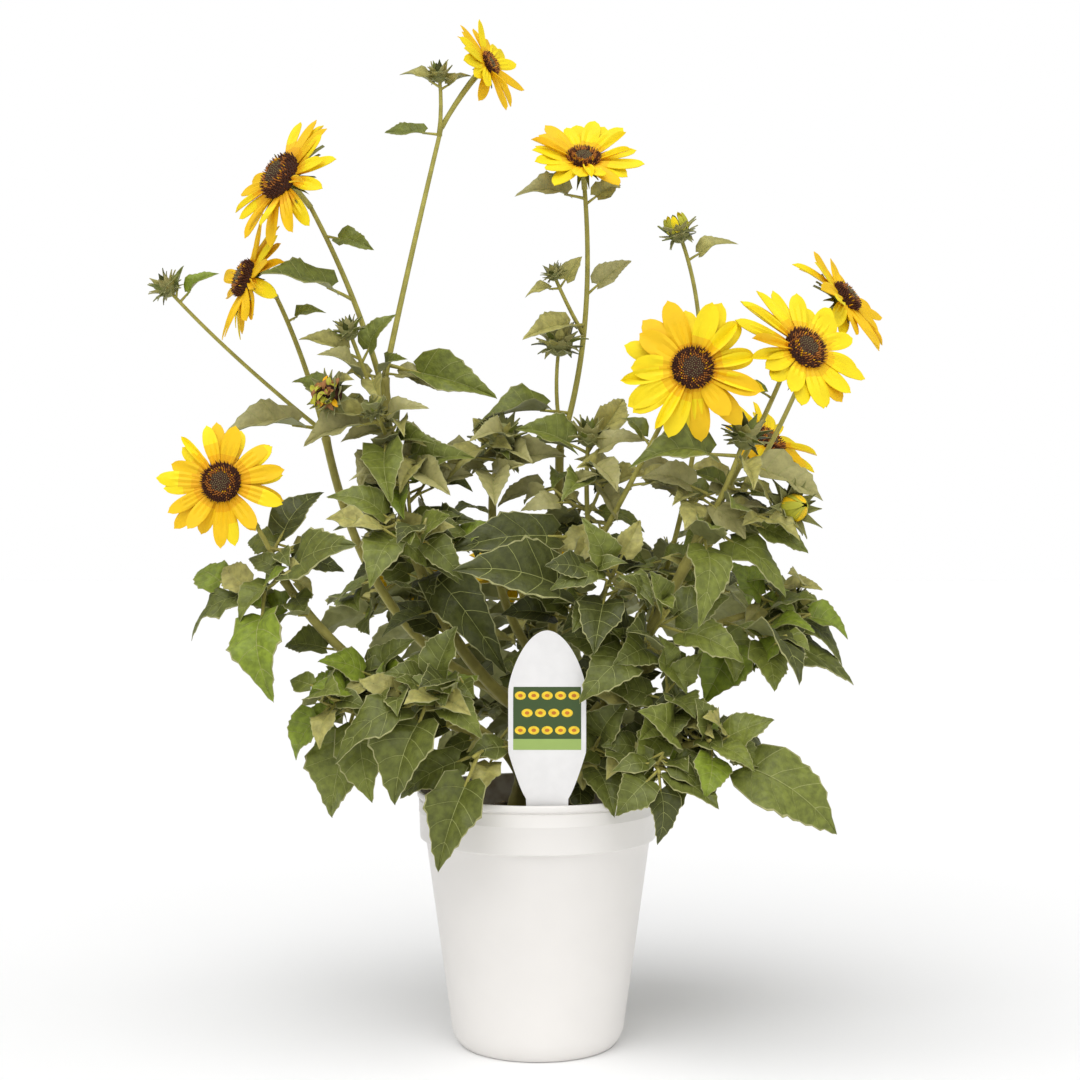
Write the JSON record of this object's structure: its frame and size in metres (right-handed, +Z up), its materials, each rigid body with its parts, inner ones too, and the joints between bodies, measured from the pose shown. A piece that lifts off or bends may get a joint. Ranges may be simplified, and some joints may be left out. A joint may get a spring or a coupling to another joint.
{
  "type": "potted sunflower plant",
  "caption": "Branching sunflower in a round nursery pot, with open daisy blooms, buds and a blank plant label.",
  "frame": {"origin": "centre of the pot's flat underside", "axes": "+Z up, -Y towards the side that the label faces, +X to its right as seen from there"},
  "size_m": [0.514, 0.3071, 0.7008],
  "materials": {
    "pot_plastic": "smooth white moulded plastic",
    "potting_mix": "damp bark and peat crumbs",
    "label_card": "thin white plastic sheet",
    "stem": "green, ribbed and finely hairy",
    "foliage": "rough hairy leaf",
    "bloom": "silky petals around a dark disc"
  },
  "bodies": {
    "root": {"bloom_back": "bloom", "bloom_back_left": "bloom", "bloom_far_left": "bloom", "bloom_left": "bloom", "bloom_mid": "bloom", "bloom_right": "bloom", "bloom_right_front": "bloom", "bloom_right_high": "bloom", "bloom_right_low": "bloom", "bloom_tall_left": "bloom", "bloom_top": "bloom", "bough_back": "stem", "bough_back_left": "stem", "bough_back_right": "stem", "bough_centre_left": "stem", "bough_far_left": "stem", "bough_left": "stem", "bough_low_left": "stem", "bough_low_right": "stem", "bough_mid": "stem", "bough_mid_right": "stem", "bough_right": "stem", "bough_side_right": "stem", "bough_tall_left": "stem", "foliage_back": "foliage", "foliage_back_left": "foliage", "foliage_back_low_left": "foliage", "foliage_back_low_right": "foliage", "foliage_back_right": "foliage", "foliage_base": "foliage", "foliage_centre": "foliage", "foliage_centre_front": "foliage", "foliage_centre_left": "foliage", "foliage_left": "foliage", "foliage_low_inner": "foliage", "foliage_low_left": "foliage", "foliage_low_right": "foliage", "foliage_mid_right": "foliage", "foliage_right_inner": "foliage", "foliage_rim_left": "foliage", "foliage_rim_right": "foliage", "foliage_side": "foliage", "foliage_side_bud": "foliage", "fork_front": "foliage", "fork_shoot": "foliage", "main_stem": "stem", "plant_label": "label_card", "pot": "pot_plastic", "soil": "potting_mix", "stalk_bud_high": "foliage", "stalk_far_left": "foliage", "stalk_left": "foliage", "stalk_mid": "foliage", "stalk_mid_right": "foliage", "stalk_right_far": "foliage", "stalk_right_front": "foliage", "stalk_right_high": "foliage", "stalk_tall_left": "foliage", "stalk_top": "foliage"}
  },
  "joints": []
}
